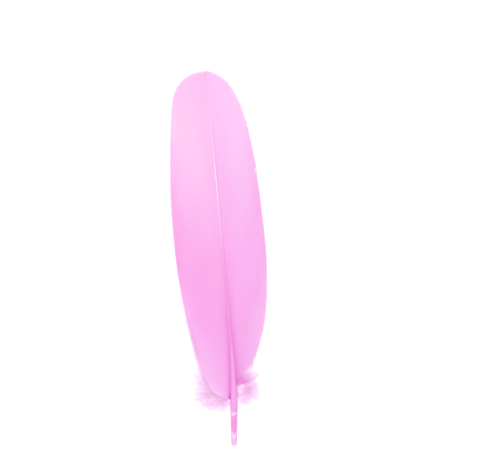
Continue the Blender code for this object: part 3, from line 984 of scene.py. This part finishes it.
STRAND_ROOT = (1.0 * MM, 28.3 * MM)
STRAND_LENGTH = 5.0 * MM
STRAND_LENGTHS = (0.7, 1.05)
STRAND_SPREAD = 0.25 * MM
STRAND_SAG = 0.4 * MM
STRAND_CLEARANCE = 0.6 * MM


def fringe_lines(side, rng):
    loosened_rows = int(HOOKED_FROM[side] * BARBS)
    rows = np.arange(0, loosened_rows, 2) / (BARBS - 1)
    extra = rng.uniform(0, 1, FRINGE_EXTRA) ** 2 * FRINGE_REACH
    u = np.concatenate([rows, extra])[:, None]
    count = len(u)
    t = np.linspace(0, 1, DOWN_RINGS)[None, :]
    start = rng.uniform(*FRINGE_STARTS, (count, 1))
    end = rng.uniform(*FRINGE_ENDS[side], (count, 1))
    flat = barb_place(side, u + 0 * t, start + (end - start) * t)
    wander = np.cumsum(rng.normal(0, FRINGE_WANDER, (count, DOWN_RINGS, 2)), axis=1)
    flat = flat + wander * t[..., None]
    loose = (1 - start) * t ** 2
    flat[..., 1] -= FRINGE_SAG * loose * rng.uniform(*FRINGE_SAG_SHARES, (count, 1))
    arc = np.sin(np.pi * np.minimum(t * FRINGE_LIFT_TURN, 1))
    lift = rng.uniform(*FRINGE_LIFTS, (count, 1)) * arc
    z = vane_top(flat[..., 0], flat[..., 1]) + FRINGE_CLEARANCE + lift
    return np.concatenate([flat, z[..., None]], axis=-1)


def fold_lines(rng):
    """Barbs side by side, which fan out from their roots beside the shaft."""
    t = np.linspace(0, 1, DOWN_RINGS)[None, :, None]
    spread = np.linspace(-1, 1, FOLD_BARBS)[:, None, None]
    root, tip = np.array(FOLD_ROOT), np.array(FOLD_TIP)
    across = np.array((root[1] - tip[1], tip[0] - root[0])) / np.linalg.norm(tip - root)
    reach = 1 + rng.normal(0, FOLD_LENGTH_SPREAD, (FOLD_BARBS, 1, 1))
    swell = FOLD_SWELL * np.sin(FOLD_SWELL_TURN * np.pi * t)
    flat = root + (tip - root) * t * reach + across * spread * swell
    z = vane_top(flat[..., 0], flat[..., 1]) + FOLD_CLEARANCE + FOLD_LIFT * np.sin(np.pi * t[..., 0])
    return np.concatenate([flat, z[..., None]], axis=-1)


def strand_lines(rng):
    """A few pale barbs that lie together, straight out from the shaft."""
    t = np.linspace(0, 1, DOWN_RINGS)[None, :]
    root_x, root_y = STRAND_ROOT
    offset = rng.uniform(-STRAND_SPREAD, STRAND_SPREAD, (STRAND_BARBS, 1))
    x = root_x + STRAND_LENGTH * t * rng.uniform(*STRAND_LENGTHS, (STRAND_BARBS, 1))
    y = root_y + offset - STRAND_SAG * np.sin(np.pi * t)
    return np.stack([x, y, vane_top(x, y) + STRAND_CLEARANCE], axis=-1)


def make_fringe(side, name, seed):
    rng = np.random.default_rng(seed)
    fringe_barbs = fringe_lines(side, rng)
    bundles = branched(fringe_barbs, FRINGE_RADIUS, FRINGE_BRANCH, 0.0, FRINGE_TONE_AND_LIGHT, rng)
    if side == RIGHT:
        bundles += branched(fold_lines(rng), FOLD_RADIUS, FOLD_BRANCH, FOLD_BARE, FOLD_TONE, rng)
        strand = strand_lines(rng)
        bundles += branched(strand, FRINGE_RADIUS, STRAND_BRANCH, STRAND_BARE, PALE_TONE, rng)
    fringe = joined_tubes(name, bundles)
    fringe.data.set_sharp_from_angle(angle=ROUNDED_UP_TO)
    return fringe


for side, name, seed in ((LEFT, "left_fringe", 61), (RIGHT, "right_fringe", 73)):
    fringe = make_fringe(side, name, seed)
    fringe.data.materials.append(dyed_down_with_painted_light)
    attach(fringe, "root")
    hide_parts("feather")

# The table is a plain sheet of matt white card, far wider than the view. It gives off light of its
# own as well, so that it stays an even white round the feather.
TABLE_SIZE = 6
bpy.ops.mesh.primitive_plane_add(size=TABLE_SIZE)
table = bpy.context.object
table.name = "table"
white_card = new_material(
    "white_card",
    Base_Color=(0.40, 0.40, 0.40, 1),
    Roughness=0.9,
    Specular_IOR_Level=0.1,
    Emission_Color=(1.0, 0.985, 1.0, 1),
    Emission_Strength=0.85,
)[0]
table.data.materials.append(white_card)

# Plain soft studio light: a white room, and one wide round lamp above the feather on the left,
# turned to face it.
ROOM_BRIGHTNESS = 0.85
LAMP_WIDTH = 1.2
LAMP_WATTS = 3.9
LAMP_PLACE = (-0.18, 0.25, 1.1)
world = bpy.data.worlds.new("white_room")
bpy.context.scene.world = world
world.use_nodes = True
room = world.node_tree.nodes["Background"]
room.inputs["Color"].default_value = (1, 1, 1, 1)
room.inputs["Strength"].default_value = ROOM_BRIGHTNESS
lamp_data = bpy.data.lights.new("wide_lamp", "AREA")
lamp_data.shape = "DISK"
lamp_data.size = LAMP_WIDTH
lamp_data.energy = LAMP_WATTS
lamp = bpy.data.objects.new("wide_lamp", lamp_data)
lamp.location = LAMP_PLACE
lamp.rotation_euler = lamp.location.to_track_quat("Z", "Y").to_euler()
bpy.context.scene.collection.objects.link(lamp)

# The camera is straight above the table and looks down on it, with the tip of the feather at the
# top of the picture.
VIEW_WIDTH = 231.5 * MM
VIEW_CENTRE = (14.36 * MM, 15.75 * MM)
VIEW_HEIGHT = 5 * MM  # the level at which the picture has that width
camera_data = bpy.data.cameras.new("camera")
camera_data.lens = 85
camera_data.sensor_width = 36
camera = bpy.data.objects.new("camera", camera_data)
distance = VIEW_WIDTH * camera_data.lens / camera_data.sensor_width
camera.location = (*VIEW_CENTRE, VIEW_HEIGHT + distance)
bpy.context.scene.collection.objects.link(camera)
bpy.context.scene.camera = camera
bpy.context.scene.view_settings.view_transform = "Standard"
